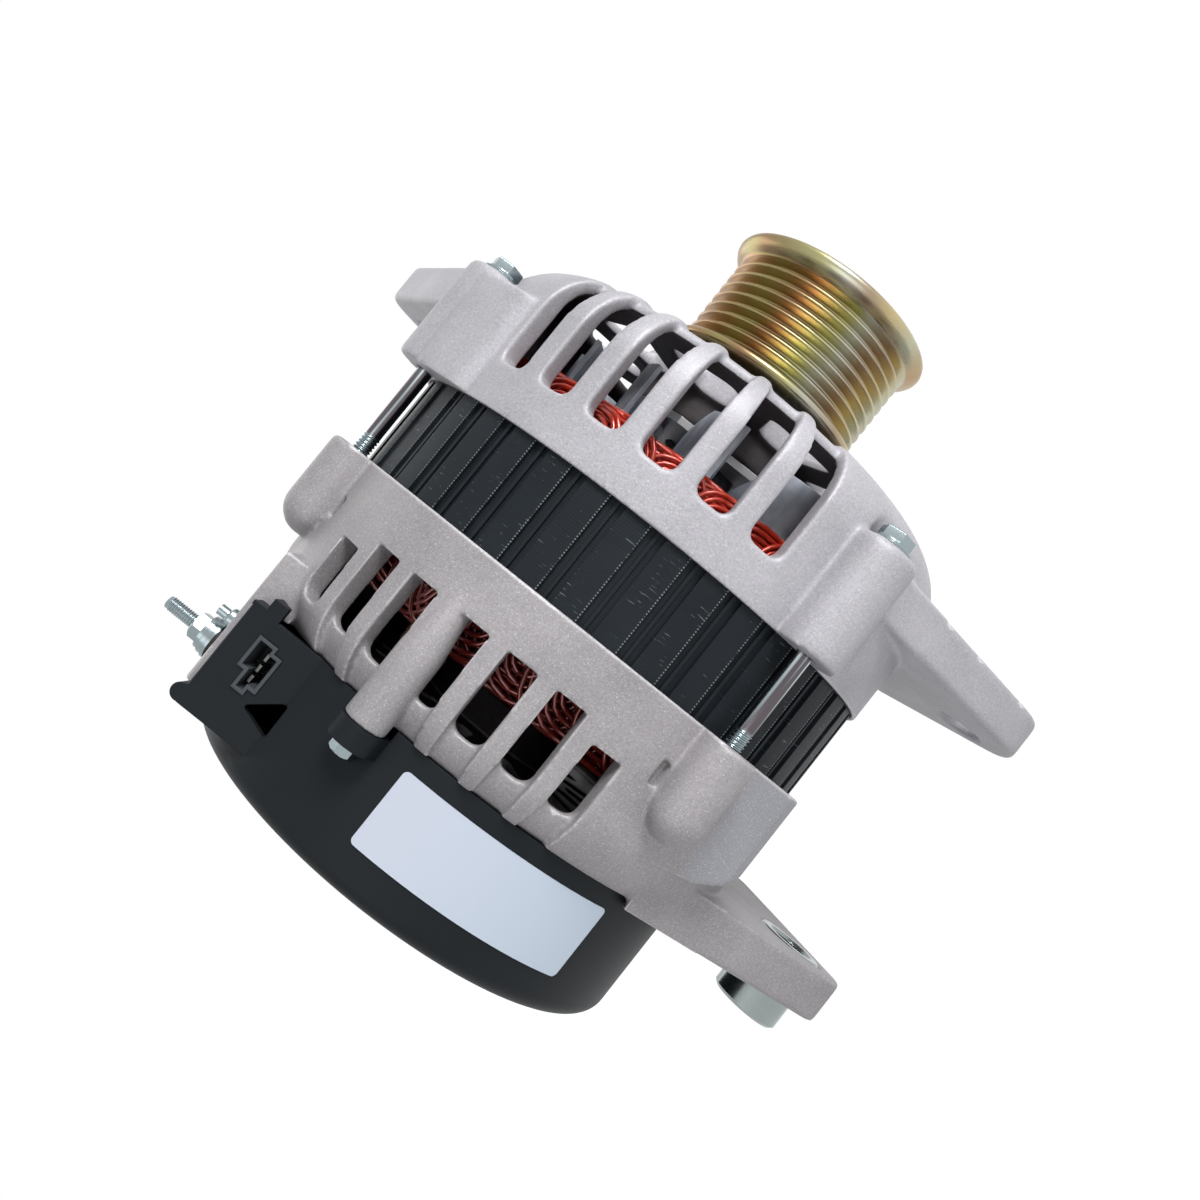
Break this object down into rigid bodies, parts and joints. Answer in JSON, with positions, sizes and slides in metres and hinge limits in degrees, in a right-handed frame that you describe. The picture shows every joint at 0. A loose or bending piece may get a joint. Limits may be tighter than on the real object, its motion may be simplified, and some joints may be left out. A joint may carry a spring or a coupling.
{
  "type": "alternator",
  "caption": "Belt-driven vehicle alternator with a ribbed pulley, slotted two-part housing, two pivot ears, an adjusting ear, rear cover, output stud and side connector.",
  "frame": {"origin": "on the rotor axis, in the middle of the belt on the pulley", "axes": "-Y along the rotor axis out of the pulley, +Z away from the pivot ears, +X to the side away from the connector"},
  "size_m": [0.1568, 0.2026, 0.2414],
  "materials": {
    "cast_aluminium": "bare casting, fine grain",
    "stator_steel": "dark varnished laminations",
    "enamelled_wire": "red-brown enamel",
    "tinned_lead": "tinned",
    "plated_steel": "bright zinc",
    "steel": "machined",
    "bearing_steel": "ground",
    "seal_rubber": "matt",
    "pole_iron": "dark varnish",
    "galvanised_steel": "galvanised sheet",
    "dark_insulation": "moulded",
    "slip_ring_copper": "turned copper",
    "contact_metal": "tinned",
    "yellow_plated_steel": "yellow passivated zinc",
    "carbon": "pressed carbon",
    "spring_steel": "drawn wire",
    "black_plastic": "satin moulding",
    "grey_plastic": "satin moulding",
    "label_film": "satin film",
    "heat_sink_aluminium": "bare",
    "diode_metal": "nickel",
    "capacitor_case": "dipped"
  },
  "bodies": {
    "housing": {"front_housing": "cast_aluminium", "rear_housing": "cast_aluminium", "stator_core": "stator_steel", "stator_windings": "enamelled_wire", "phase_leads": "tinned_lead", "through_bolts": "plated_steel", "bolt_washers": "plated_steel", "cover_studs": "plated_steel", "cover_nuts": "plated_steel", "output_nut": "plated_steel", "output_washers": "plated_steel", "second_stud": "plated_steel", "output_stud": "plated_steel", "pivot_bush": "steel", "bearing_retainer": "steel", "retainer_screws": "steel", "rear_frame_screws": "steel", "front_bearing_outer_ring": "bearing_steel", "rear_bearing_outer_ring": "bearing_steel", "front_bearing_seals": "seal_rubber", "brush_holder": "dark_insulation", "voltage_regulator": "dark_insulation", "rectifier_terminal_frame": "dark_insulation", "rectifier_insulators": "dark_insulation", "output_insulator": "dark_insulation", "connector_pins": "contact_metal", "inner_brush_spring": "spring_steel", "outer_brush_spring": "spring_steel", "rear_cover": "black_plastic", "connector_socket": "grey_plastic", "cover_label": "label_film", "negative_heat_sink": "heat_sink_aluminium", "positive_heat_sink": "heat_sink_aluminium", "negative_diodes": "diode_metal", "positive_diodes": "diode_metal", "capacitor": "capacitor_case"},
    "rotor": {"rotor_shaft": "steel", "front_pole": "pole_iron", "rear_pole": "pole_iron", "field_core": "steel", "field_bobbin": "dark_insulation", "field_coil": "enamelled_wire", "front_fan": "galvanised_steel", "rear_fan": "galvanised_steel", "slip_ring_hub": "dark_insulation", "slip_rings": "slip_ring_copper", "spacer_collar": "steel", "pulley": "yellow_plated_steel", "pulley_nut": "steel", "front_bearing_inner_ring": "bearing_steel", "rear_bearing_inner_ring": "bearing_steel"},
    "front_ball_cage": {"front_bearing_cage": "bearing_steel"},
    "rear_ball_cage": {"rear_bearing_cage": "bearing_steel"},
    "first_brush": {"inner_brush": "carbon"},
    "second_brush": {"outer_brush": "carbon"}
  },
  "joints": [
    {"name": "rotor_spin", "type": "hinge", "parent": "housing", "child": "rotor", "pos_m": [0, 0, 0], "axis": [0, -1, 0], "continuous": true},
    {"name": "front_cage_spin", "type": "hinge", "parent": "housing", "child": "front_ball_cage", "pos_m": [0, 0, 0], "axis": [0, -1, 0], "continuous": true},
    {"name": "rear_cage_spin", "type": "hinge", "parent": "housing", "child": "rear_ball_cage", "pos_m": [0, 0, 0], "axis": [0, -1, 0], "continuous": true},
    {"name": "first_brush_slide", "type": "slide", "parent": "housing", "child": "first_brush", "axis": [-0.866, 0, 0.5], "range_m": [0, 0.003], "stiffness_N_per_m": 500, "springref_m": -0.006, "deforming": ["inner_brush_spring"]},
    {"name": "second_brush_slide", "type": "slide", "parent": "housing", "child": "second_brush", "axis": [-0.866, 0, 0.5], "range_m": [0, 0.003], "stiffness_N_per_m": 500, "springref_m": -0.006, "deforming": ["outer_brush_spring"]}
  ],
  "couplings": [
    {"joint": "front_cage_spin", "follows": "rotor_spin", "ratio": 0.3641},
    {"joint": "rear_cage_spin", "follows": "rotor_spin", "ratio": 0.384}
  ]
}
